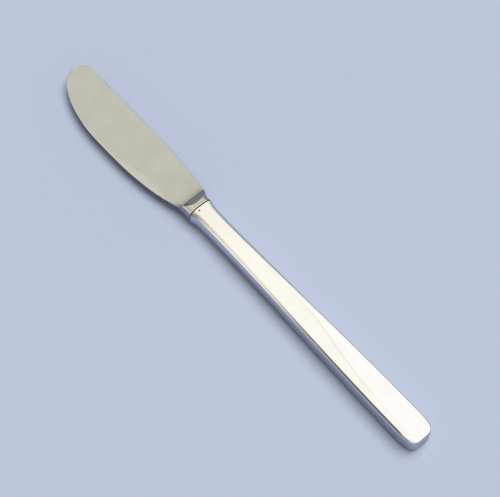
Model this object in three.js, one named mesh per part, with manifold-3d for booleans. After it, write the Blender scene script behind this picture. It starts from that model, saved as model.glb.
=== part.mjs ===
// Table knife with a hollow handle, lying on one broad face, in millimetres.
// +X runs from the tip of the blade to the butt of the handle, +Y points to the spine and +Z is up.
// The origin lies on the face that the knife rests on, below the handle's axis, half way along the knife.
import * as THREE from "three";
import { mergeVertices } from "three/addons/utils/BufferGeometryUtils.js";
import Module from "manifold-3d";

const wasm = await Module();
wasm.setup();

const { clamp, lerp, smoothstep } = THREE.MathUtils;

// Whole knife
const overallLength = 205;
const handleLength = 122.3;
const bolsterLength = 5.5;
const jointThickness = 0.4; // cement line between bolster and handle
const rimChamfer = 0.15; // broken edge on each side of the joint

// Handle. A section exponent of 2 is an ellipse, and a higher one is squarer.
const handleThickness = 9;
const mouthWidth = 11;
const waistWidth = 9.2;
const buttWidth = 11.7;
const flareLength = 2.6; // over which the flare of the mouth dies away
const waistLength = 14; // from the mouth to where the handle starts to widen
const mouthExponent = 2.7;
const buttExponent = 8;
const buttRoundLength = 11.5; // over which the butt rounds in, seen from above
const buttRoundExponent = 4;
const buttFlatWidth = 5; // flat left in the middle of the butt
const buttEdgeRadius = 0.9;
const wallThickness = 0.7;
const solderThickness = 0.12;
const ventDiameter = 0.7;
const ventFromMouth = 1.2;
const ventFromAxis = 1.5;

// Blade outline, seen from above. Heights are measured from the handle's axis.
const spineHeight = 8.7;
const edgeDepth = 10.45;
const tipHeight = 3;
const tipSpineLength = 3.9; // over which the tip rounds into the spine
const tipEdgeLength = 32; // over which the tip sweeps down to the deepest point of the edge
const tipFlatLength = 0.02; // blunting of the foremost point
const spineFallLength = 27; // over which the spine falls to the heel
const spineFallPower = 1.5;
const edgeRisePower = 2.9; // of the edge's rise from its deepest point to the heel
const heelSpineHeight = 6.7;
const heelEdgeDepth = 5.2;

// Blade section
const spineThicknessAtHeel = 1.9;
const spineThicknessAtTip = 1.1;
const edgeThickness = 0.25;
const edgeThicknessAtHeel = 1.6;
const heelThickenLength = 16; // over which the edge thickens towards the heel
const heelThickenPower = 2;
const bladeExponent = 8;
const bladeFullness = 0.75; // below 1 the faces are convex

// Bolster
const neckWidth = 10;
const neckThickness = 8.3;
const bolsterPower = 1.5; // of the bolster's growth from its neck to the joint
const crownLength = 1.75; // left uncut between the scoop and the joint
const foldRadius = 0.5; // where the blade's face turns up into the scoop
const scoopMinimumRun = 0.15;
const scoopShare = 0.5; // place between edge and spine where its slope is set
const scoopTipShare = 0.9; // share of the half width at which it closes in a round tip on the edge side
const scoopNarrowest = 0.15; // share of the full run left past that tip
const spineShoulderLength = 1.7; // over which the spine drops to the bolster

// Spigot and tang inside the handle
const spigotLength = 3;
const spigotCement = 0.5; // cement left round the spigot
const tangLength = 62;
const tangRootWidth = 4.6;
const tangRootThickness = 3.8;
const tangEndWidth = 3;
const tangEndThickness = 2.4;
const tangExponent = 8;
const notchCount = 3;
const notchPitch = 13;
const notchFromEnd = 6.5; // from the tang's end to the middle of the last notch
const notchLength = 4;
const notchFloorLength = 2;
const notchDepth = 0.5;

// Cement
const cementClearance = 0.3;
const lipRecess = 0.3; // by which the cement line stays below the metal

// Fineness of the facets
const sideCount = 36;
const tipSteps = 6;
const sweepSteps = 7;
const rearSteps = 9;
const scoopSteps = 5;
const crownSteps = 3;
const straightSteps = 16;
const mouthCrowding = 1.8; // above 1 the sections crowd towards the mouth
const roundSteps = 8;
const ventSides = 12;
const halvings = 40;

// Places along and above the knife
const tipX = -overallLength / 2;
const buttX = overallLength / 2;
const mouthX = buttX - handleLength;
const jointX = mouthX - jointThickness;
const heelX = jointX - bolsterLength;
const deepestX = tipX + tipEdgeLength;
const roundX = buttX - buttRoundLength;
const axisZ = handleThickness / 2;
const handleHalf = handleThickness / 2;

function signedPower(value, power) {
  return Math.sign(value) * Math.abs(value) ** power;
}

// Points round a unit superellipse. They start half a step off the axes, so that each of its four sides
// keeps a narrow flat.
function superellipse(exponent) {
  const step = (2 * Math.PI) / sideCount;
  const reach = Math.cos(step / 2);
  return Array.from({ length: sideCount }, (_, i) => {
    const angle = (i + 0.5) * step;
    return {
      across: signedPower(Math.cos(angle) / reach, 2 / exponent),
      up: signedPower(Math.sin(angle) / reach, 2 / exponent),
    };
  });
}

function sectionRing(x, halfWidth, halfHeight, exponent) {
  return superellipse(exponent).map(
    ({ across, up }) => new THREE.Vector3(x, across * halfWidth, axisZ + up * halfHeight),
  );
}

// Closed skin over rings that follow each other along +X, with a fan of triangles over each end.
function loft(rings) {
  const count = rings[0].length;
  const last = (rings.length - 1) * count;
  const triangles = [];
  for (let start = 0; start < last; start += count) {
    for (let k = 0; k < count; k += 1) {
      const next = (k + 1) % count;
      const a = start + k;
      const b = start + next;
      triangles.push(a, b, b + count, a, b + count, a + count);
    }
  }
  for (let k = 1; k < count - 1; k += 1) {
    triangles.push(0, k + 1, k, last, last + k, last + k + 1);
  }
  return new THREE.BufferGeometry().setFromPoints(rings.flat()).setIndex(triangles);
}

function toSolid(geometry) {
  const bare = new THREE.BufferGeometry();
  bare.setAttribute("position", geometry.getAttribute("position"));
  bare.setIndex(geometry.index);
  const merged = mergeVertices(bare);
  const vertProperties = merged.getAttribute("position").array;
  const triVerts = new Uint32Array(merged.index.array);
  return new wasm.Manifold(new wasm.Mesh({ numProp: 3, vertProperties, triVerts }));
}

function toGeometry(solid) {
  const { vertProperties, triVerts } = solid.getMesh();
  const geometry = new THREE.BufferGeometry();
  geometry.setAttribute("position", new THREE.BufferAttribute(vertProperties, 3));
  return geometry.setIndex(new THREE.BufferAttribute(triVerts, 1));
}

// Blade outline: the edge is a quarter ellipse from the tip to its deepest point, then a slow rise to the
// heel, where it runs into the side of the bolster.
function edgeY(x) {
  if (x < deepestX) {
    const back = (deepestX - x) / tipEdgeLength;
    return tipHeight - (tipHeight + edgeDepth) * Math.sqrt(1 - back ** 2);
  }
  const share = (x - deepestX) / (heelX - deepestX);
  return -edgeDepth + (edgeDepth - heelEdgeDepth) * share ** edgeRisePower;
}

function spineY(x) {
  const back = Math.max(0, 1 - (x - tipX) / tipSpineLength);
  const corner = (spineHeight - tipHeight) * (1 - Math.sqrt(1 - back ** 2));
  const fall = Math.max(0, 1 - (heelX - x) / spineFallLength);
  return spineHeight - corner - (spineHeight - heelSpineHeight) * fall ** spineFallPower;
}

// Half thickness of the blade, from the edge at share 0 to the spine at share 1. The grinding of the faces
// runs out towards the heel, which leaves the edge thick and blunt there.
function bladeHalf(x, share) {
  const along = (x - tipX) / (heelX - tipX);
  const spine = lerp(spineThicknessAtTip, spineThicknessAtHeel, along);
  const thicken = Math.max(0, 1 - (heelX - x) / heelThickenLength) ** heelThickenPower;
  const edge = lerp(edgeThickness, edgeThicknessAtHeel, thicken);
  return lerp(edge, spine, share ** bladeFullness) / 2;
}

function bladeRing(x) {
  return superellipse(bladeExponent).map(({ across, up }) => {
    const share = (across + 1) / 2;
    const y = lerp(edgeY(x), spineY(x), share);
    return new THREE.Vector3(x, y, axisZ + up * bladeHalf(x, share));
  });
}

function bladeStations() {
  const stations = [];
  for (let i = 0; i < tipSteps; i += 1) {
    const turn = (Math.PI / 2) * (i / tipSteps);
    stations.push(tipX + tipFlatLength + tipSpineLength * (1 - Math.cos(turn)));
  }
  const firstTurn = Math.acos(1 - tipSpineLength / tipEdgeLength);
  for (let i = 0; i < sweepSteps; i += 1) {
    const turn = lerp(firstTurn, Math.PI / 2, i / sweepSteps);
    stations.push(tipX + tipFlatLength + tipEdgeLength * (1 - Math.cos(turn)));
  }
  for (let i = 0; i <= rearSteps; i += 1) {
    const turn = (Math.PI / 2) * (i / rearSteps);
    stations.push(deepestX + tipFlatLength + (heelX - deepestX - tipFlatLength) * Math.sin(turn));
  }
  return stations;
}

// Bolster: it grows to the mouth of the handle, from a neck on the spine side and straight from the heel on
// the edge side.
function bolsterShare(x) {
  return ((x - heelX) / bolsterLength) ** bolsterPower;
}

function bolsterSide(x, across) {
  if (across < 0) {
    return lerp(heelEdgeDepth, mouthWidth / 2, (x - heelX) / bolsterLength);
  }
  const shoulder = Math.exp(-(((x - heelX) / spineShoulderLength) ** 2));
  const neck = lerp(neckWidth, mouthWidth, bolsterShare(x)) / 2;
  return neck + (heelSpineHeight - neckWidth / 2) * shoulder;
}

function bolsterHalf(x) {
  return lerp(neckThickness, handleThickness, bolsterShare(x)) / 2;
}

// The grinding wheel that shapes the blade's faces runs out into the bolster: a tight fold at the heel,
// then a steep scoop up to the crown.
const scoopRun = bolsterLength - crownLength;
const scoopRise = bolsterHalf(heelX + scoopRun) - bladeHalf(heelX, scoopShare);
const scoopSlope = scoopRise / (Math.hypot(scoopRun, foldRadius) - foldRadius);

function scoopHeight(x, across) {
  const towardsTip = clamp(-across / scoopTipShare, 0, 1);
  const runShare = Math.max(scoopNarrowest, Math.sqrt(1 - towardsTip ** 2));
  return (scoopSlope / runShare) * (Math.hypot(x - heelX, foldRadius) - foldRadius);
}

// Where the scoop comes out of the bolster's surface, found by halving
function ridgeX({ across, up }, heelHeight) {
  let low = heelX + scoopMinimumRun;
  let high = heelX + scoopRun;
  for (let i = 0; i < halvings; i += 1) {
    const middle = (low + high) / 2;
    const cut = heelHeight + scoopHeight(middle, across);
    if (cut < bolsterHalf(middle) * Math.abs(up)) {
      low = middle;
    } else {
      high = middle;
    }
  }
  return low;
}

function bolsterPoint(x, { across, up }, inset) {
  const y = across * (bolsterSide(x, across) - inset);
  return new THREE.Vector3(x, y, axisZ + up * (bolsterHalf(x) - inset));
}

function bolsterRings() {
  const directions = superellipse(mouthExponent);
  const heel = bladeRing(heelX);
  const ridge = directions.map((direction, k) => {
    const x = ridgeX(direction, Math.abs(heel[k].z - axisZ));
    return bolsterPoint(x, direction, 0);
  });
  const rings = [];
  for (let i = 1; i < scoopSteps; i += 1) {
    const share = i / scoopSteps;
    rings.push(
      ridge.map((point, k) => {
        const x = lerp(heelX, point.x, share);
        const rise = scoopHeight(x, 0) / scoopHeight(point.x, 0);
        return new THREE.Vector3(x, lerp(heel[k].y, point.y, share), lerp(heel[k].z, point.z, rise));
      }),
    );
  }
  rings.push(ridge);
  for (let i = 1; i <= crownSteps; i += 1) {
    rings.push(
      ridge.map((point, k) => {
        const x = lerp(point.x, jointX - rimChamfer, i / crownSteps);
        return bolsterPoint(x, directions[k], 0);
      }),
    );
  }
  rings.push(directions.map((direction) => bolsterPoint(jointX, direction, rimChamfer)));
  return rings;
}

// Spigot, which passes the handle's waist, and notched tang. Grown by a clearance, they are also the hollow
// that they leave in the cement.
const spigotInset = wallThickness + cementClearance + spigotCement + cementClearance;
const spigotX = mouthX + spigotLength;
const tangX = spigotX + tangLength;

function tangRing(x, grow, notch) {
  const share = (x - spigotX) / tangLength;
  const halfWidth = lerp(tangRootWidth, tangEndWidth, share) / 2 - notch + grow;
  const halfHeight = lerp(tangRootThickness, tangEndThickness, share) / 2 + grow;
  return sectionRing(x, halfWidth, halfHeight, tangExponent);
}

function spigotRing(x, grow) {
  const shrink = spigotInset - grow;
  return sectionRing(x, waistWidth / 2 - shrink, handleHalf - shrink, mouthExponent);
}

function tangRings(startX, grow) {
  const shoulderX = spigotX + grow;
  const rings = [spigotRing(startX, grow), spigotRing(shoulderX, grow), tangRing(shoulderX, grow, 0)];
  const firstNotchX = tangX - notchFromEnd - (notchCount - 1) * notchPitch;
  for (let i = 0; i < notchCount; i += 1) {
    const middle = firstNotchX + i * notchPitch;
    rings.push(tangRing(middle - notchLength / 2, grow, 0));
    rings.push(tangRing(middle - notchFloorLength / 2, grow, notchDepth));
    rings.push(tangRing(middle + notchFloorLength / 2, grow, notchDepth));
    rings.push(tangRing(middle + notchLength / 2, grow, 0));
  }
  rings.push(tangRing(tangX + grow, grow, 0));
  return rings;
}

function makeBlade() {
  return loft([...bladeStations().map(bladeRing), ...bolsterRings(), ...tangRings(jointX, 0)]);
}

// Handle: half width and section exponent along its length
function handleSide(x) {
  const flare = (mouthWidth - waistWidth) * Math.exp((mouthX - x) / flareLength);
  const swell = (buttWidth - waistWidth) * smoothstep(x, mouthX + waistLength, roundX);
  return (waistWidth + flare + swell) / 2;
}

function handleExponent(x) {
  return lerp(mouthExponent, buttExponent, smoothstep(x, mouthX, roundX));
}

function handleRing(x, inset) {
  return sectionRing(x, handleSide(x) - inset, handleHalf - inset, handleExponent(x));
}

// Rings of the handle's form, all of it drawn in by the inset, from startX to the butt
function handleRings(startX, inset) {
  const rings = [];
  for (let i = 0; i <= straightSteps; i += 1) {
    const share = (i / straightSteps) ** mouthCrowding;
    rings.push(handleRing(lerp(startX, roundX, share), inset));
  }
  const flatShare = buttFlatWidth / buttWidth;
  const lastTurn = Math.acos(flatShare ** (buttRoundExponent / 2));
  for (let i = 1; i <= roundSteps; i += 1) {
    const turn = lastTurn * (i / roundSteps);
    const forward = (Math.sin(turn) / Math.sin(lastTurn)) ** (2 / buttRoundExponent);
    const x = roundX + (buttRoundLength - inset) * forward;
    const halfWidth = (handleSide(roundX) - inset) * Math.cos(turn) ** (2 / buttRoundExponent);
    const past = clamp((x + inset - buttX) / buttEdgeRadius + 1, 0, 1);
    const edgeDrop = buttEdgeRadius * (1 - Math.sqrt(1 - past ** 2));
    rings.push(sectionRing(x, halfWidth, handleHalf - inset - edgeDrop, buttExponent));
  }
  return rings;
}

// The whole thin wall of the handle, open at the mouth
function makeWall() {
  const outside = loft([handleRing(mouthX, rimChamfer), ...handleRings(mouthX + rimChamfer, 0)]);
  const inside = loft(handleRings(mouthX - jointThickness, wallThickness));
  return toSolid(outside).subtract(toSolid(inside));
}

// Layer of the wall between two heights
function wallLayer(wall, bottom, top) {
  const box = new THREE.BoxGeometry(overallLength, overallLength, top - bottom);
  box.translate(mouthX + overallLength / 2 - jointThickness, 0, (bottom + top) / 2);
  return wall.intersect(toSolid(box));
}

function makeVent() {
  const drill = new THREE.CylinderGeometry(ventDiameter / 2, ventDiameter / 2, handleThickness, ventSides);
  drill.rotateX(Math.PI / 2);
  drill.translate(mouthX + ventFromMouth, -ventFromAxis, axisZ + handleHalf);
  return toSolid(drill);
}

function makeFiller() {
  const lip = (x) => sectionRing(x, mouthWidth / 2 - lipRecess, handleHalf - lipRecess, mouthExponent);
  const inset = wallThickness + cementClearance;
  const core = handleRings(mouthX, inset);
  const cast = loft([lip(jointX), lip(mouthX), ...core]);
  const hollow = loft(tangRings(jointX - bolsterLength, cementClearance));
  return toGeometry(toSolid(cast).subtract(toSolid(hollow)));
}

const polishedSteel = new THREE.MeshStandardMaterial({ color: 0xbfbfb4, roughness: 0.16, metalness: 1 });
const polishedSilver = new THREE.MeshStandardMaterial({ color: 0xf1eee2, roughness: 0.1, metalness: 1 });
const silverSolder = new THREE.MeshStandardMaterial({ color: 0xe4dfcd, roughness: 0.25, metalness: 1 });
const darkCement = new THREE.MeshStandardMaterial({ color: 0x3b3430, roughness: 0.8, metalness: 0 });

const knife = new THREE.Group();

function addPiece(name, geometry, material) {
  geometry.computeVertexNormals();
  const mesh = new THREE.Mesh(geometry, material);
  mesh.name = name;
  knife.add(mesh);
}

const wall = makeWall();
const seamBottom = axisZ - solderThickness / 2;
const seamTop = axisZ + solderThickness / 2;
const upperShell = wallLayer(wall, seamTop, overallLength).subtract(makeVent());

addPiece("blade", makeBlade(), polishedSteel);
addPiece("handle_shell_upper", toGeometry(upperShell), polishedSilver);
addPiece("handle_shell_lower", toGeometry(wallLayer(wall, -overallLength, seamBottom)), polishedSilver);
addPiece("seam_solder", toGeometry(wallLayer(wall, seamBottom, seamTop)), silverSolder);
addPiece("handle_filler", makeFiller(), darkCement);

export default knife;
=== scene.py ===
import math
import bpy
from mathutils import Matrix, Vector


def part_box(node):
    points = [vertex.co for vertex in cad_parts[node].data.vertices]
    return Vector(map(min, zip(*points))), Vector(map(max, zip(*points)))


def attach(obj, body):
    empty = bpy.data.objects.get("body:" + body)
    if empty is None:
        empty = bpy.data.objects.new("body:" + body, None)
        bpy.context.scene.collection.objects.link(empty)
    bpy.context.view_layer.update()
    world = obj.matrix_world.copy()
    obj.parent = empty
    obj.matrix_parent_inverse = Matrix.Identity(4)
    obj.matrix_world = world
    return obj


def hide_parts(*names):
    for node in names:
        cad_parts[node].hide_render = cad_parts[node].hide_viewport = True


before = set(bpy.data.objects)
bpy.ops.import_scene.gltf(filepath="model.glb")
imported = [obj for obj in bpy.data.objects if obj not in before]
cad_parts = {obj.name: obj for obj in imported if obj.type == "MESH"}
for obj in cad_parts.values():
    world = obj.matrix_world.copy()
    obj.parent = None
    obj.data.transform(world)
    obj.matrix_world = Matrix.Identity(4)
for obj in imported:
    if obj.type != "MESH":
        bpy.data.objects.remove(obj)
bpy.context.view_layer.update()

mm = 0.001  # sizes below are in millimetres, Blender's are in metres

# places that come from the frame
bladeLow, bladeHigh = [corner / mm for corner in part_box("blade")]
shellLow, shellHigh = [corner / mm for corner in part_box("handle_shell_upper")]
mouthX = shellLow.x
buttX = shellHigh.x
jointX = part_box("handle_filler")[0].x / mm  # front of the cement line
axisZ = shellHigh.z / 2
handleHalf = shellHigh.z - axisZ
print("frame loaded:", sorted(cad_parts))


def lerp(start, end, share):
    return start + (end - start) * share


def smoothStep(value, low, high):
    share = min(1, max(0, (value - low) / (high - low)))
    return share * share * (3 - 2 * share)


def signedPower(value, power):
    return math.copysign(abs(value) ** power, value)


# unit superellipse over the top, from the spine side to the edge side: even in angle and even across,
# so that both its corners and its flats are followed closely
def unitOutline(exponent, samples=160):
    angles = [math.pi * i / samples for i in range(samples + 1)]
    angles += [math.acos(signedPower(1 - 2 * i / samples, exponent / 2)) for i in range(1, samples)]
    outline = []
    for angle in sorted(angles):
        across = signedPower(math.cos(angle), 2 / exponent)
        up = max(0, math.sin(angle)) ** (2 / exponent)
        outline.append((across, up))
    outline[0] = (1, 0)
    outline[-1] = (-1, 0)
    return outline


# the same number of points on every section, evenly spaced along it
def spacedEvenly(outline, count):
    lengths = [0]
    for here, there in zip(outline, outline[1:]):
        lengths.append(lengths[-1] + math.dist(here, there))
    points = []
    k = 0
    for i in range(count + 1):
        wanted = lengths[-1] * i / count
        while k < len(lengths) - 2 and lengths[k + 1] < wanted:
            k += 1
        span = lengths[k + 1] - lengths[k]
        share = (wanted - lengths[k]) / span if span else 0
        points.append(tuple(lerp(a, b, share) for a, b in zip(outline[k], outline[k + 1])))
    return points


def sectionHalf(x, halfWidth, halfHeight, exponent, count):
    outline = [(across * halfWidth, up * halfHeight) for across, up in unitOutline(exponent)]
    return [(x, y, z) for y, z in spacedEvenly(outline, count)]


# a half section holds heights above the axis; mirrored below it, it becomes a closed ring
def fullRing(half):
    top = [(x, y, axisZ + z) for x, y, z in half]
    bottom = [(x, y, axisZ - z) for x, y, z in reversed(half[1:-1])]
    return top + bottom


# faces that turn by more than the sharp angle, in degrees, meet in a crisp line
def makePiece(name, points, faces, sharpAngle=40):
    mesh = bpy.data.meshes.new(name)
    mesh.from_pydata([Vector(point) * mm for point in points], [], faces)
    mesh.validate()
    mesh.polygons.foreach_set("use_smooth", [True] * len(mesh.polygons))
    mesh.set_sharp_from_angle(angle=math.radians(sharpAngle))
    piece = bpy.data.objects.new(name, mesh)
    bpy.context.scene.collection.objects.link(piece)
    return piece


# faces of a loft through rings with the same number of points around, closed at both ends
def loftFaces(pointCount, around):
    last = pointCount - around
    faces = []
    for start in range(0, last, around):
        for k in range(around):
            a, b = start + k, start + (k + 1) % around
            faces.append((a, b, b + around, a + around))
    faces.append(tuple(reversed(range(around))))
    faces.append(tuple(range(last, pointCount)))
    return faces


# blade, bolster, spigot and tang: one forging
blade = {
    "spineHeight": bladeHigh.y,
    "edgeDepth": -bladeLow.y,
    "tipHeight": 3,
    "tipSpineLength": 3.9,
    "tipEdgeLength": 32,
    "tipFlat": 0.02,  # blunting of the foremost point
    "spineFallLength": 27,
    "spineFallPower": 1.5,
    "edgeRisePower": 2.9,
    "heelSpineHeight": 6.7,
    "heelEdgeDepth": 5.2,
    "spineThicknessAtHeel": 1.9,
    "spineThicknessAtTip": 1.1,
    "edgeThickness": 0.25,
    "edgeThicknessAtHeel": 1.6,
    "heelThickenLength": 16,
    "heelThickenPower": 2,
    "heelSwell": 1.2,  # the edge swells into the bolster's side
    "heelSwellLength": 8,
    "heelSwellShare": 0.1,  # of the blade's width
    "heelBlend": 0.75,  # softens the corner between the edge and the bolster
    "heelBlendReach": 12,
    "exponent": 8,
    "fullness": 0.75,
    "halfCount": 130,  # points over the top of a section
    "tipSteps": 36,
    "sweepSteps": 44,
    "rearSteps": 80,
    "sharpAngle": 28,
}
bolster = {
    "length": 5.5,
    "neckWidth": 10,
    "neckThickness": 8.3,
    "mouthWidth": 11,
    "exponent": 2.7,
    "power": 1.5,
    "crownLength": 1.75,
    "scoopTip": 0.9,  # the scoop closes in a round tip here on the edge side
    "scoopNarrowest": 0.15,
    "scoopMiddle": 0.5,  # of the blade's width, where its full rise is taken
    "foldRadius": 0.5,
    "minimumRun": 0.15,
    "shoulderLength": 2.3,
    "rimChamfer": 0.15,
    "scoopSteps": 26,
    "crownSteps": 16,
    "ridgeHalvings": 40,
}
tang = {
    "spigotLength": 3,
    "spigotWidth": 5.6,
    "spigotThickness": 5.4,
    "length": 62,
    "rootWidth": 4.6,
    "rootThickness": 3.8,
    "endWidth": 3,
    "endThickness": 2.4,
    "exponent": 8,
    "notchCount": 3,
    "notchPitch": 13,
    "notchFromEnd": 6.5,
    "notchLength": 4,
    "notchFloor": 2,
    "notchDepth": 0.5,
}
heelX = jointX - bolster["length"]
tipX = bladeLow.x - blade["tipFlat"]
deepestX = tipX + blade["tipEdgeLength"]


def edgeY(x):
    if x < deepestX:
        back = min(1, (deepestX - x) / blade["tipEdgeLength"])
        sweep = blade["tipHeight"] + blade["edgeDepth"]
        return blade["tipHeight"] - sweep * math.sqrt(1 - back ** 2)
    share = (x - deepestX) / (heelX - deepestX)
    rise = blade["edgeDepth"] - blade["heelEdgeDepth"]
    edge = rise * share ** blade["edgeRisePower"] - blade["edgeDepth"]
    side = -lerp(blade["heelEdgeDepth"], bolster["mouthWidth"] / 2, (x - heelX) / bolster["length"])
    reach = blade["heelBlendReach"] if x < heelX else bolster["length"]
    softness = blade["heelBlend"] * (1 - smoothStep(abs(x - heelX), 0, reach))
    return (edge + side - math.hypot(edge - side, softness)) / 2


def spineY(x):
    back = min(1, max(0, 1 - (x - tipX) / blade["tipSpineLength"]))
    corner = (blade["spineHeight"] - blade["tipHeight"]) * (1 - math.sqrt(1 - back ** 2))
    fall = max(0, 1 - (heelX - x) / blade["spineFallLength"]) ** blade["spineFallPower"]
    return blade["spineHeight"] - corner - (blade["spineHeight"] - blade["heelSpineHeight"]) * fall


def bladeHalf(x, share):
    along = (x - tipX) / (heelX - tipX)
    spine = lerp(blade["spineThicknessAtTip"], blade["spineThicknessAtHeel"], along)
    thicken = max(0, 1 - (heelX - x) / blade["heelThickenLength"]) ** blade["heelThickenPower"]
    edge = lerp(blade["edgeThickness"], blade["edgeThicknessAtHeel"], thicken)
    swell = max(0, 1 - (heelX - x) / blade["heelSwellLength"]) ** blade["heelThickenPower"]
    swell *= blade["heelSwell"] * math.exp(-(share / blade["heelSwellShare"]) ** 2)
    return lerp(edge, spine, share ** blade["fullness"]) / 2 + swell


def bladeSection(x):
    outline = []
    for across, up in unitOutline(blade["exponent"]):
        share = (across + 1) / 2
        outline.append((lerp(edgeY(x), spineY(x), share), up * bladeHalf(x, share)))
    return [(x, y, z) for y, z in spacedEvenly(outline, blade["halfCount"])]


def bladeStations():
    quarter = math.pi / 2
    stations = []
    firstTurn = math.acos(1 - blade["tipFlat"] / blade["tipSpineLength"])
    for i in range(blade["tipSteps"]):
        turn = lerp(firstTurn, quarter, i / blade["tipSteps"])
        stations.append(tipX + blade["tipSpineLength"] * (1 - math.cos(turn)))
    firstTurn = math.acos(1 - blade["tipSpineLength"] / blade["tipEdgeLength"])
    for i in range(blade["sweepSteps"]):
        turn = lerp(firstTurn, quarter, i / blade["sweepSteps"])
        stations.append(tipX + blade["tipEdgeLength"] * (1 - math.cos(turn)))
    for i in range(blade["rearSteps"] + 1):
        stations.append(lerp(deepestX, heelX, math.sin(quarter * i / blade["rearSteps"])))
    return stations


def bolsterGrowth(x):
    return max(0, (x - heelX) / bolster["length"])


def bolsterSide(x, across):
    if across < 0:
        return -edgeY(x)
    neck, mouth = bolster["neckWidth"] / 2, bolster["mouthWidth"] / 2
    shoulder = math.exp(-((x - heelX) / bolster["shoulderLength"]) ** 2)
    grown = lerp(neck, mouth, bolsterGrowth(x) ** bolster["power"])
    return grown + (blade["heelSpineHeight"] - neck) * shoulder


def bolsterHalf(x):
    return lerp(bolster["neckThickness"] / 2, handleHalf, bolsterGrowth(x) ** bolster["power"])


scoopRun = bolster["length"] - bolster["crownLength"]
scoopRise = bolsterHalf(heelX + scoopRun) - bladeHalf(heelX, bolster["scoopMiddle"])
scoopSlope = scoopRise / (math.hypot(scoopRun, bolster["foldRadius"]) - bolster["foldRadius"])


def scoopHeight(x, across):
    towardsTip = min(1, max(0, -across / bolster["scoopTip"]))
    runShare = max(bolster["scoopNarrowest"], math.sqrt(1 - towardsTip ** 2))
    return scoopSlope / runShare * (math.hypot(x - heelX, bolster["foldRadius"]) - bolster["foldRadius"])


# where the scoop comes out of the bolster's surface, found by halving
def ridgeX(direction, heelHeight):
    across, up = direction
    low, high = heelX + bolster["minimumRun"], heelX + scoopRun
    for step in range(bolster["ridgeHalvings"]):
        middle = (low + high) / 2
        if heelHeight + scoopHeight(middle, across) < bolsterHalf(middle) * up:
            low = middle
        else:
            high = middle
    return low


def bolsterPoint(x, direction, inset):
    across, up = direction
    return x, across * (bolsterSide(x, across) - inset), up * (bolsterHalf(x) - inset)


def bolsterSections():
    count = blade["halfCount"]
    directions = spacedEvenly(unitOutline(bolster["exponent"]), count)
    heel = bladeSection(heelX)
    ridge = [bolsterPoint(ridgeX(d, h[2]), d, 0) for d, h in zip(directions, heel)]
    sections = []
    for i in range(1, bolster["scoopSteps"]):
        share = i / bolster["scoopSteps"]
        section = []
        for low, high in zip(heel, ridge):
            x = lerp(heelX, high[0], share)
            rise = scoopHeight(x, 0) / scoopHeight(high[0], 0)
            section.append((x, lerp(low[1], high[1], share), lerp(low[2], high[2], rise)))
        sections.append(section)
    sections.append(ridge)
    rimX = jointX - bolster["rimChamfer"]
    for i in range(1, bolster["crownSteps"] + 1):
        share = i / bolster["crownSteps"]
        sections.append([bolsterPoint(lerp(r[0], rimX, share), d, 0) for r, d in zip(ridge, directions)])
    sections.append([bolsterPoint(jointX, d, bolster["rimChamfer"]) for d in directions])
    return sections


def tangSections():
    count = blade["halfCount"]
    spigotX = mouthX + tang["spigotLength"]
    endX = spigotX + tang["length"]

    def tangSection(x, notch):
        share = (x - spigotX) / tang["length"]
        width = lerp(tang["rootWidth"], tang["endWidth"], share) / 2 - notch
        height = lerp(tang["rootThickness"], tang["endThickness"], share) / 2
        return sectionHalf(x, width, height, tang["exponent"], count)

    spigotSize = (tang["spigotWidth"] / 2, tang["spigotThickness"] / 2, bolster["exponent"], count)
    sections = [sectionHalf(jointX, *spigotSize), sectionHalf(spigotX, *spigotSize), tangSection(spigotX, 0)]
    for i in reversed(range(tang["notchCount"])):
        middle = endX - tang["notchFromEnd"] - i * tang["notchPitch"]
        sections.append(tangSection(middle - tang["notchLength"] / 2, 0))
        sections.append(tangSection(middle - tang["notchFloor"] / 2, tang["notchDepth"]))
        sections.append(tangSection(middle + tang["notchFloor"] / 2, tang["notchDepth"]))
        sections.append(tangSection(middle + tang["notchLength"] / 2, 0))
    sections.append(tangSection(endX, 0))
    return sections


def makeForging():
    sections = [bladeSection(x) for x in bladeStations()] + bolsterSections() + tangSections()
    rings = [fullRing(section) for section in sections]
    points = [point for ring in rings for point in ring]
    faces = loftFaces(len(points), len(rings[0]))
    return makePiece("bladeForging", points, faces, blade["sharpAngle"])


forging = makeForging()
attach(forging, "root")
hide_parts("blade")
print("blade and bolster:", len(forging.data.polygons), "faces")

# handle: two stamped shells, soldered along the middle plane
handle = {
    "mouthWidth": 11,
    "waistWidth": 9.2,
    "buttWidth": shellHigh.y - shellLow.y,
    "flareLength": 2.6,
    "waistLength": 14,
    "mouthExponent": 2.7,
    "buttExponent": 8,
    "buttRoundLength": 11.5,
    "buttRoundExponent": 4,
    "buttFlatWidth": 5,
    "buttEdgeRadius": 0.9,
    "wall": 0.7,
    "rimChamfer": 0.15,
    "crown": 0.05,  # how far the broad faces are domed, as a share of the half thickness
    "ventDiameter": 0.7,
    "ventFromMouth": 1.2,
    "ventFromAxis": 1.5,
    "ventSides": 32,
    "ventDrillMargin": 1,
    "outerCount": 120,
    "innerCount": 24,
    "straightSteps": 96,
    "mouthCrowding": 1.8,
    "roundSteps": 48,
}
roundX = buttX - handle["buttRoundLength"]
seamHalf = shellLow.z - axisZ  # the upper shell starts this far above the axis


def handleSide(x):
    flare = (handle["mouthWidth"] - handle["waistWidth"]) * math.exp((mouthX - x) / handle["flareLength"])
    swollen = smoothStep(x, mouthX + handle["waistLength"], roundX)
    swell = (handle["buttWidth"] - handle["waistWidth"]) * swollen
    return (handle["waistWidth"] + flare + swell) / 2


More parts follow.
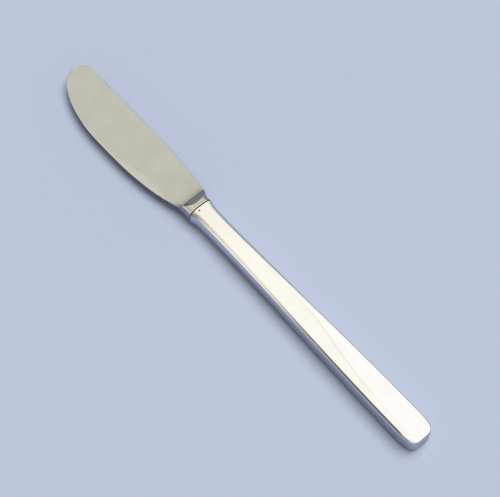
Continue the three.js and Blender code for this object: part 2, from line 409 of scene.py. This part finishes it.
# each station along the handle: place, half width, half height and squareness, drawn in by the inset
def handleStations(inset, mouthInset):
    stations = [(mouthX, handleSide(mouthX) - mouthInset, handleHalf - mouthInset, handle["mouthExponent"])]
    startX = mouthX + handle["rimChamfer"]
    for i in range(handle["straightSteps"] + 1):
        x = lerp(startX, roundX, (i / handle["straightSteps"]) ** handle["mouthCrowding"])
        squareness = lerp(handle["mouthExponent"], handle["buttExponent"], smoothStep(x, mouthX, roundX))
        stations.append((x, handleSide(x) - inset, handleHalf - inset, squareness))
    power = 2 / handle["buttRoundExponent"]
    lastTurn = math.acos((handle["buttFlatWidth"] / handle["buttWidth"]) ** (1 / power))
    for i in range(1, handle["roundSteps"] + 1):
        turn = lastTurn * i / handle["roundSteps"]
        forward = (math.sin(turn) / math.sin(lastTurn)) ** power
        x = roundX + (handle["buttRoundLength"] - inset) * forward
        halfWidth = (handleSide(roundX) - inset) * math.cos(turn) ** power
        past = min(1, max(0, (x + inset - buttX) / handle["buttEdgeRadius"] + 1))
        edgeDrop = handle["buttEdgeRadius"] * (1 - math.sqrt(1 - past ** 2))
        stations.append((x, halfWidth, handleHalf - inset - edgeDrop, handle["buttExponent"]))
    return stations


def shellSection(station, count):
    x, halfWidth, halfHeight, squareness = station
    dome = handle["crown"] * smoothStep(x, mouthX, roundX)
    outline = []
    for across, up in unitOutline(squareness):
        height = up * halfHeight * (1 - dome * across ** 2)
        outline.append((across * halfWidth, max(seamHalf, height)))
    return [(x, y, z) for y, z in spacedEvenly(outline, count)]


def makeShell(name, side):  # side is 1 for the upper shell and -1 for the lower
    outerStations = handleStations(0, handle["rimChamfer"])
    innerStations = handleStations(handle["wall"], handle["wall"])
    outerCount, innerCount = handle["outerCount"] + 1, handle["innerCount"] + 1
    points = []
    for station in outerStations:
        points += shellSection(station, handle["outerCount"])
    inside = len(points)
    for station in innerStations:
        points += shellSection(station, handle["innerCount"])
    points = [(x, y, axisZ + side * z) for x, y, z in points]

    steps = len(outerStations) - 1
    faces = []
    for i in range(steps):
        for k in range(handle["outerCount"]):
            a = i * outerCount + k
            faces.append((a, a + 1, a + 1 + outerCount, a + outerCount))
        for k in range(handle["innerCount"]):
            a = inside + i * innerCount + k
            faces.append((a, a + innerCount, a + 1 + innerCount, a + 1))
        a, b = i * outerCount, inside + i * innerCount  # rims along the seam
        faces.append((a, a + outerCount, b + innerCount, b))
        a, b = a + outerCount - 1, b + innerCount - 1
        faces.append((a, b, b + innerCount, a + outerCount))
    lastOuter, lastInner = steps * outerCount, inside + steps * innerCount
    mouthOuter = reversed(range(outerCount))
    mouthInner = range(inside, inside + innerCount)
    faces.append((*mouthOuter, *mouthInner))
    faces.append(tuple(range(lastOuter, lastOuter + outerCount)))
    faces.append(tuple(reversed(range(lastInner, lastInner + innerCount))))
    faces.append((lastOuter, lastOuter + outerCount - 1, lastInner + innerCount - 1, lastInner))
    if side < 0:
        faces = [tuple(reversed(face)) for face in faces]
    return makePiece(name, points, faces)


# the pin-sized vent, which let hot air out while the handle was soldered and filled
def drillVent(shell):
    sides = handle["ventSides"]
    middle = Vector((mouthX + handle["ventFromMouth"], -handle["ventFromAxis"], 0))
    drillFrom = axisZ + handle["ventDrillMargin"]
    points = []
    for height in (drillFrom, drillFrom + handleHalf):
        for k in range(sides):
            turn = 2 * math.pi * k / sides
            spoke = Vector((math.cos(turn), math.sin(turn), 0)) * handle["ventDiameter"] / 2
            points.append(middle + spoke + Vector((0, 0, height)))
    drill = makePiece("ventDrill", points, loftFaces(len(points), sides))
    cut = shell.modifiers.new("vent", "BOOLEAN")
    cut.operation = "DIFFERENCE"
    cut.solver = "EXACT"
    cut.object = drill
    evaluated = shell.evaluated_get(bpy.context.evaluated_depsgraph_get())
    drilled = bpy.data.meshes.new_from_object(evaluated)
    shell.modifiers.remove(cut)
    shell.data = drilled
    bpy.data.objects.remove(drill)


upperShell = makeShell("upperShell", 1)
drillVent(upperShell)
lowerShell = makeShell("lowerShell", -1)
for piece, node in ((upperShell, "handle_shell_upper"), (lowerShell, "handle_shell_lower")):
    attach(piece, "root")
    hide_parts(node)
print("handle shells:", len(upperShell.data.polygons), len(lowerShell.data.polygons), "faces")


# solder: one run along the spine side, round the butt and back along the edge side
def makeSolder():
    outer = [station[:2] for station in handleStations(0, handle["rimChamfer"])]
    inner = [station[:2] for station in handleStations(handle["wall"], handle["wall"])]
    outer += [(x, -y) for x, y in reversed(outer)]
    inner += [(x, -y) for x, y in reversed(inner)]
    points = []
    for (x, y), (innerX, innerY) in zip(outer, inner):
        points.append((x, y, axisZ - seamHalf))
        points.append((x, y, axisZ + seamHalf))
        points.append((innerX, innerY, axisZ + seamHalf))
        points.append((innerX, innerY, axisZ - seamHalf))
    return makePiece("solderSeam", points, loftFaces(len(points), around=4))


solder = makeSolder()
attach(solder, "root")
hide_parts("seam_solder")
print("solder seam:", len(solder.data.polygons), "faces")


# materials
def linearColour(hexColour):
    parts = [int(hexColour[i:i + 2], 16) / 255 for i in (1, 3, 5)]
    return [c / 12.92 if c <= 0.04045 else ((c + 0.055) / 1.055) ** 2.4 for c in parts] + [1]


# a setting is a value for a socket or a property, or the output of another node, which is linked
def addNode(tree, kind, settings={}):
    node = tree.nodes.new(kind)
    for name, value in settings.items():
        if isinstance(value, bpy.types.NodeSocket):
            tree.links.new(value, node.inputs[name])
        elif isinstance(name, int) or name in node.inputs:
            node.inputs[name].default_value = value
        else:
            setattr(node, name, value)
    return node


def addMath(tree, operation, first, second=0):
    return addNode(tree, "ShaderNodeMath", {"operation": operation, 0: first, 1: second}).outputs["Value"]


def addNoise(tree, vector, scale, detail, roughness=0.5):
    settings = {"Vector": vector, "Scale": scale, "Detail": detail, "Roughness": roughness}
    return addNode(tree, "ShaderNodeTexNoise", settings).outputs["Fac"]


# noise that is drawn out lengthwise, and turned by the slant
def addStreaks(tree, place, length, spacing, slant, detail, roughness=0.5):
    scale = [1 / size / mm for size in (length, spacing, spacing)]
    settings = {"Vector": place, "Scale": scale, "Rotation": (0, 0, math.radians(slant))}
    drawnOut = addNode(tree, "ShaderNodeMapping", settings).outputs["Vector"]
    return addNoise(tree, drawnOut, 1, detail, roughness)


# runs from the first to the second result while the value runs from its first to its second limit
def addRange(tree, value, limits, results=(0, 1)):
    settings = {"Value": value, "From Min": limits[0], "From Max": limits[1]}
    settings.update({"To Min": results[0], "To Max": results[1]})
    return addNode(tree, "ShaderNodeMapRange", settings).outputs["Result"]


def addRamp(tree, value, tones):
    ramp = addNode(tree, "ShaderNodeValToRGB", {"Fac": value})
    for element, (position, hexColour) in zip(ramp.color_ramp.elements, tones):
        element.position = position
        element.color = linearColour(hexColour)
    return ramp.outputs["Color"]


# blends a colour towards another one by the share
def addTint(tree, share, colour, hexColour):
    settings = {"data_type": "RGBA", 0: share, 6: colour, 7: linearColour(hexColour)}
    return addNode(tree, "ShaderNodeMix", settings).outputs[2]


def addRelief(tree, height, strength, depth):
    settings = {"Height": height, "Strength": strength, "Distance": depth * mm}
    return addNode(tree, "ShaderNodeBump", settings).outputs["Normal"]


def newMaterial(name, settings):
    material = bpy.data.materials.new(name)
    material.use_nodes = True
    shader = material.node_tree.nodes["Principled BSDF"]
    for socket, value in settings.items():
        shader.inputs[socket].default_value = value
    return material, material.node_tree, shader


def linkShader(tree, shader, outputs):
    for socket, output in outputs.items():
        tree.links.new(output, shader.inputs[socket])


# stainless steel, ground and mirror-polished: grey and even, with faint smudges, lengthwise polishing lines
# and a few specks of tarnish, and painted shade: a dark line in the fold at the heel and a darkening in front
# of it
steelLook = {
    "tones": ((0.42, "#cfcfc9"), (0.72, "#c7c6c0")),  # clean and smudged
    "smudgeSize": 14,
    "smudgeLimits": (0.35, 0.75),
    "roughness": (0.05, 0.09),
    "lineLength": 30,
    "lineSpacing": 0.5,
    "speck": "#8d857a",
    "speckSpacing": 6,
    "speckRadius": (0.5, 0.15),  # where a speck starts and where it is full
    "speckStrength": 0.45,
    # painted shade: the colour and reach of the dark line in the fold and of the darkening in front of it
    "foldShadeColour": "#4c4b4e",
    "foldShadeReach": (0.3, 0.14),  # to either side of the fold
    "foldShadeFrom": (-4.2, -3.2),  # it stays clear of the edge
    "foldFadeShadeLength": 1.4,
    "foldFadeShadeStrength": 0.6,
}
steel, tree, shader = newMaterial("stainless steel, mirror-polished", {"Metallic": 1})
place = addNode(tree, "ShaderNodeTexCoord").outputs["Object"]
smudge = addNoise(tree, place, 1 / (steelLook["smudgeSize"] * mm), detail=4, roughness=0.6)
tone = addRamp(tree, smudge, steelLook["tones"])
# polishing lines are far finer than a pixel, so they are drawn half a millimetre apart
lines = addStreaks(tree, place, steelLook["lineLength"], steelLook["lineSpacing"], slant=0, detail=3)
cellScale = 1 / (steelLook["speckSpacing"] * mm)
cells = addNode(tree, "ShaderNodeTexVoronoi", {"Vector": place, "Scale": cellScale}).outputs["Distance"]
speckLimits = [radius / steelLook["speckSpacing"] for radius in steelLook["speckRadius"]]
speck = addRange(tree, cells, speckLimits, (0, steelLook["speckStrength"]))
tone = addTint(tree, speck, tone, steelLook["speck"])
axes = addNode(tree, "ShaderNodeSeparateXYZ", {"Vector": place}).outputs
# painted shade: a dark line along the fold at the heel, clear of the edge, and a darkening of the blade that
# fades out in front of the fold
pastFold = addMath(tree, "SUBTRACT", axes["X"], heelX * mm)
fromFold = addMath(tree, "ABSOLUTE", pastFold)
inFold = addRange(tree, fromFold, [reach * mm for reach in steelLook["foldShadeReach"]])
clearOfEdge = addRange(tree, axes["Y"], [y * mm for y in steelLook["foldShadeFrom"]])
paintedFoldShade = addMath(tree, "MULTIPLY", inFold, clearOfEdge)
fade = addMath(tree, "MULTIPLY", pastFold, 1 / (steelLook["foldFadeShadeLength"] * mm))
fade = addMath(tree, "EXPONENT", fade)
onBlade = addMath(tree, "LESS_THAN", pastFold, 0)
paintedFadeShade = addMath(tree, "MULTIPLY", onBlade, steelLook["foldFadeShadeStrength"])
paintedFadeShade = addMath(tree, "MULTIPLY", fade, paintedFadeShade)
paintedFoldShade = addMath(tree, "MAXIMUM", paintedFoldShade, paintedFadeShade)
tone = addTint(tree, paintedFoldShade, tone, steelLook["foldShadeColour"])
gloss = addRange(tree, smudge, steelLook["smudgeLimits"], steelLook["roughness"])
relief = addRelief(tree, lines, strength=0.03, depth=0.02)
linkShader(tree, shader, {"Base Color": tone, "Roughness": gloss, "Normal": relief})

# sterling silver, stamped and buffed: white and bright, with a web of hairline scratches from use, and
# rubbed softer next to the blade, where the finger lies
silverLook = {
    "tones": ((0.4, "#fefdfa"), (0.75, "#f9f7f0")),  # bright and worn
    "hazeSize": 9,
    "scratchLength": 7,
    "scratchSpacing": 0.6,
    "scratchSlant": 12,  # degrees
    "scratchLimits": (0.3, 0.7),
    "roughness": (0.015, 0.04),
    "rubbedLength": 24,
    "rubbedRoughness": 0.26,
}
silver, tree, shader = newMaterial("sterling silver, stamped and buffed", {"Metallic": 1})
place = addNode(tree, "ShaderNodeTexCoord").outputs["Object"]
haze = addNoise(tree, place, 1 / (silverLook["hazeSize"] * mm), detail=5, roughness=0.65)
tone = addRamp(tree, haze, silverLook["tones"])
# hairline scratches are finer than a pixel too, so they are drawn coarser
scratches = addStreaks(tree, place, silverLook["scratchLength"], silverLook["scratchSpacing"],
                       silverLook["scratchSlant"], detail=4, roughness=0.7)
buffed = addRange(tree, scratches, silverLook["scratchLimits"], silverLook["roughness"])
along = addNode(tree, "ShaderNodeSeparateXYZ", {"Vector": place}).outputs["X"]
rubbedLimits = (mouthX * mm, (mouthX + silverLook["rubbedLength"]) * mm)
rubbed = addRange(tree, along, rubbedLimits, (silverLook["rubbedRoughness"], 0))
gloss = addMath(tree, "ADD", buffed, rubbed)
relief = addRelief(tree, scratches, strength=0.02, depth=0.02)
linkShader(tree, shader, {"Base Color": tone, "Roughness": gloss, "Normal": relief})

# hard silver solder, filed flush: a little yellower and duller than the shells
solderLook = {
    "tones": ((0, "#ece6d6"), (1, "#d8d0bb")),  # bright and dull
    "grainSize": 0.8,
    "roughness": (0.15, 0.32),
}
hardSolder, tree, shader = newMaterial("silver solder, filed flush", {"Metallic": 1})
place = addNode(tree, "ShaderNodeTexCoord").outputs["Object"]
grain = addNoise(tree, place, 1 / (solderLook["grainSize"] * mm), detail=3)
tone = addRamp(tree, grain, solderLook["tones"])
gloss = addRange(tree, grain, (0, 1), solderLook["roughness"])
linkShader(tree, shader, {"Base Color": tone, "Roughness": gloss})

# resin cement with slate dust, cast: nearly black and dull, slightly grainy where it shows in the joint
cementLook = {
    "tones": ((0, "#2a2522"), (1, "#463e38")),  # resin and dust
    "grainSize": 0.35,
    "roughness": (0.7, 0.95),
}
cement, tree, shader = newMaterial("resin cement, cast", {"IOR": 1.5})
place = addNode(tree, "ShaderNodeTexCoord").outputs["Object"]
grain = addNoise(tree, place, 1 / (cementLook["grainSize"] * mm), detail=4)
tone = addRamp(tree, grain, cementLook["tones"])
gloss = addRange(tree, grain, (0, 1), cementLook["roughness"])
relief = addRelief(tree, grain, strength=0.4, depth=0.05)
linkShader(tree, shader, {"Base Color": tone, "Roughness": gloss, "Normal": relief})

for piece, material in ((forging, steel), (upperShell, silver), (lowerShell, silver), (solder, hardSolder),
                        (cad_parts["handle_filler"], cement)):
    piece.data.materials.clear()
    piece.data.materials.append(material)
print("materials:", [material.name for material in bpy.data.materials if material.users])

# floor: pale, slightly cool matt paper; the metal mirrors it in a deeper blue, a painted reflection
floorLook = {"colour": "#bcc6db", "paintedMirrorBlue": "#8e97b3", "halfSize": 3000, "below": 0.02}
half = floorLook["halfSize"]
corners = [(-half, -half), (half, -half), (half, half), (-half, half)]
floor = makePiece("floor", [(x, y, -floorLook["below"]) for x, y in corners], [(0, 1, 2, 3)])
paper, tree, shader = newMaterial("paper, matt", {"Roughness": 0.9, "Specular IOR Level": 0.2})
# painted reflection: rays mirrored by the metal see the floor in a deeper blue than its own colour
inMirror = addNode(tree, "ShaderNodeLightPath").outputs["Is Glossy Ray"]
tone = addTint(tree, inMirror, linearColour(floorLook["colour"]), floorLook["paintedMirrorBlue"])
linkShader(tree, shader, {"Base Color": tone})
floor.data.materials.append(paper)

# light: an even studio and one soft key lamp high on the spine side. The metal mirrors a warm room: a wide
# window high up past the butt, a ceiling with a skylight over the blade, grey walls past the tip and the
# spine, and a shade and a dark screen on the edge side. Pairs of limits give soft borders, from none to full
studio = {
    "ambient": 0.3,
    "keyStrength": 2.31,  # gives the floor its written colour, together with the ambient light
    "keyFrom": (60, 330, 1060),
    "keySpread": 46,  # degrees across, for a soft edge to the shadow
    "room": ((0.15, "#e3e0d6"), (0.55, "#fefdf5")),  # low and high, by the sine of the elevation
    "window": "#ffffff",
    "windowFrame": "#e4e3da",
    "windowTowards": (0.657, 0.754, 0.94),
    "windowEdge": 0.925,
    "windowFrameWidth": 0.004,
    "ceiling": "#efeee4",
    "ceilingPast": (-0.34, -0.4),
    "skylight": "#fffbee",
    "skylightLeft": (-1.6, 1, 0),
    "skylightLeftEdge": (0.838, 0.828),
    "skylightRight": (3.3, 1, 0),
    "skylightRightEdge": (-1.145, -1.165),
    "endWall": "#b4b6cb",
    "endWallTowards": (-0.95, 0.29, 0.15),
    "endWallEdge": (0.86, 0.95),
    "farWall": "#989c94",  # low down on the spine side, beside the blade
    "farWallFrom": (0.6, 0.8),
    "farWallBelow": (0.45, 0.1),
    "farWallUpTo": (-0.28, -0.34),
    "shade": "#e0ded3",
    "shadeFrom": (0.25, 0.5),  # towards the edge side, as the direction's share along -Y
    "shadeAbove": (0.2, 0.35),
    "screen": "#5a504a",
    "screenFrom": (0.5, 0.65),
    "screenAbove": (0.3, 0.4),
    "screenPast": (-0.345, -0.3),  # it starts and stops here, as the direction's share along +X
    "screenUpTo": (-0.12, -0.17),
    "screenFoot": "#5f5655",  # the screen reaches lower down towards the butt
    "screenFootFrom": (0.4, 0.6),
    "screenFootAbove": (-0.02, 0.04),
    "screenFootPast": (-0.33, -0.25),
    "screenEnd": "#544b4a",  # and only its foot goes on past the butt
    "screenEndFrom": (0.2, 0.35),
    "screenEndBelow": (0.56, 0.46),
    "screenEndPast": (-0.2, -0.15),
    "screenEndUpTo": (0.25, 0.1),
}
world = bpy.data.worlds.new("studio")
bpy.context.scene.world = world
world.use_nodes = True
tree = world.node_tree
tree.nodes.clear()
direction = addNode(tree, "ShaderNodeTexCoord").outputs["Generated"]
axes = addNode(tree, "ShaderNodeSeparateXYZ", {"Vector": direction}).outputs
along, spineSide, height = axes["X"], axes["Y"], axes["Z"]
edgeSide = addMath(tree, "MULTIPLY", spineSide, -1)


def towards(aim):
    settings = {"operation": "DOT_PRODUCT", 0: direction, 1: studio[aim]}
    return addNode(tree, "ShaderNodeVectorMath", settings).outputs["Value"]


# 0 to 1 where every one of the values has passed from its first to its second limit
def within(*bounded):
    shares = [addRange(tree, value, studio[limits]) for value, limits in bounded]
    whole = shares[0]
    for share in shares[1:]:
        whole = addMath(tree, "MULTIPLY", whole, share)
    return whole


windowAim = towards("windowTowards")
windowEdge, frameWidth = studio["windowEdge"], studio["windowFrameWidth"]
layers = {
    "windowFrame": addRange(tree, windowAim, (windowEdge - frameWidth, windowEdge)),
    "window": addRange(tree, windowAim, (windowEdge, windowEdge + frameWidth)),
    "ceiling": within((along, "ceilingPast")),
    "skylight": within((towards("skylightLeft"), "skylightLeftEdge"),
                       (towards("skylightRight"), "skylightRightEdge")),
    "endWall": within((towards("endWallTowards"), "endWallEdge")),
    "farWall": within((spineSide, "farWallFrom"), (height, "farWallBelow"), (along, "farWallUpTo")),
    "shade": within((edgeSide, "shadeFrom"), (height, "shadeAbove")),
    "screen": within((edgeSide, "screenFrom"), (height, "screenAbove"),
                     (along, "screenPast"), (along, "screenUpTo")),
    "screenFoot": within((edgeSide, "screenFootFrom"), (height, "screenFootAbove"),
                         (along, "screenFootPast"), (along, "screenUpTo")),
    "screenEnd": within((edgeSide, "screenEndFrom"), (height, "screenFootAbove"), (height, "screenEndBelow"),
                        (along, "screenEndPast"), (along, "screenEndUpTo")),
}
view = addRamp(tree, height, studio["room"])
for colour, share in layers.items():
    view = addTint(tree, share, view, studio[colour])


def addBackground(colour, strength=1):
    settings = {"Color": colour, "Strength": strength}
    return addNode(tree, "ShaderNodeBackground", settings).outputs["Background"]


def addChoice(share, first, second):
    settings = {"Fac": share, 1: first, 2: second}
    return addNode(tree, "ShaderNodeMixShader", settings).outputs["Shader"]


# the metal mirrors the room, the camera sees the floor's colour, and other rays meet an even white
rays = addNode(tree, "ShaderNodeLightPath").outputs
even = addBackground((1, 1, 1, 1), studio["ambient"])
lit = addChoice(rays["Is Glossy Ray"], even, addBackground(view))
seen = addChoice(rays["Is Camera Ray"], lit, addBackground(linearColour(floorLook["colour"])))
addNode(tree, "ShaderNodeOutputWorld", {"Surface": seen})

key = bpy.data.lights.new("key lamp", "SUN")
key.energy = studio["keyStrength"]
key.angle = math.radians(studio["keySpread"])
keyLamp = bpy.data.objects.new("key lamp", key)
bpy.context.scene.collection.objects.link(keyLamp)
keyLamp.location = Vector(studio["keyFrom"]) * mm
keyLamp.rotation_euler = Vector(studio["keyFrom"]).to_track_quat("Z", "Y").to_euler()
keyLamp.visible_glossy = False  # the metal mirrors the room instead
print("studio lit")

# camera, fitted to the photograph
camera = {
    "aim": (2.86, 5.26, 0),
    "sightline": (0.3328, -0.29, 0.8972),  # from the aim to the camera
    "distance": 560,
    "nearest": 10,
    "lens": 105.8,
    "sensor": 36,
}
sightline = Vector(camera["sightline"]).normalized()
lens = bpy.data.cameras.new("camera")
lens.lens = camera["lens"]
lens.sensor_width = camera["sensor"]
lens.clip_start = camera["nearest"] * mm
holder = bpy.data.objects.new("camera", lens)
bpy.context.scene.collection.objects.link(holder)
holder.location = (Vector(camera["aim"]) + sightline * camera["distance"]) * mm
holder.rotation_euler = sightline.to_track_quat("Z", "Y").to_euler()
bpy.context.scene.camera = holder
bpy.context.scene.view_settings.view_transform = "Standard"
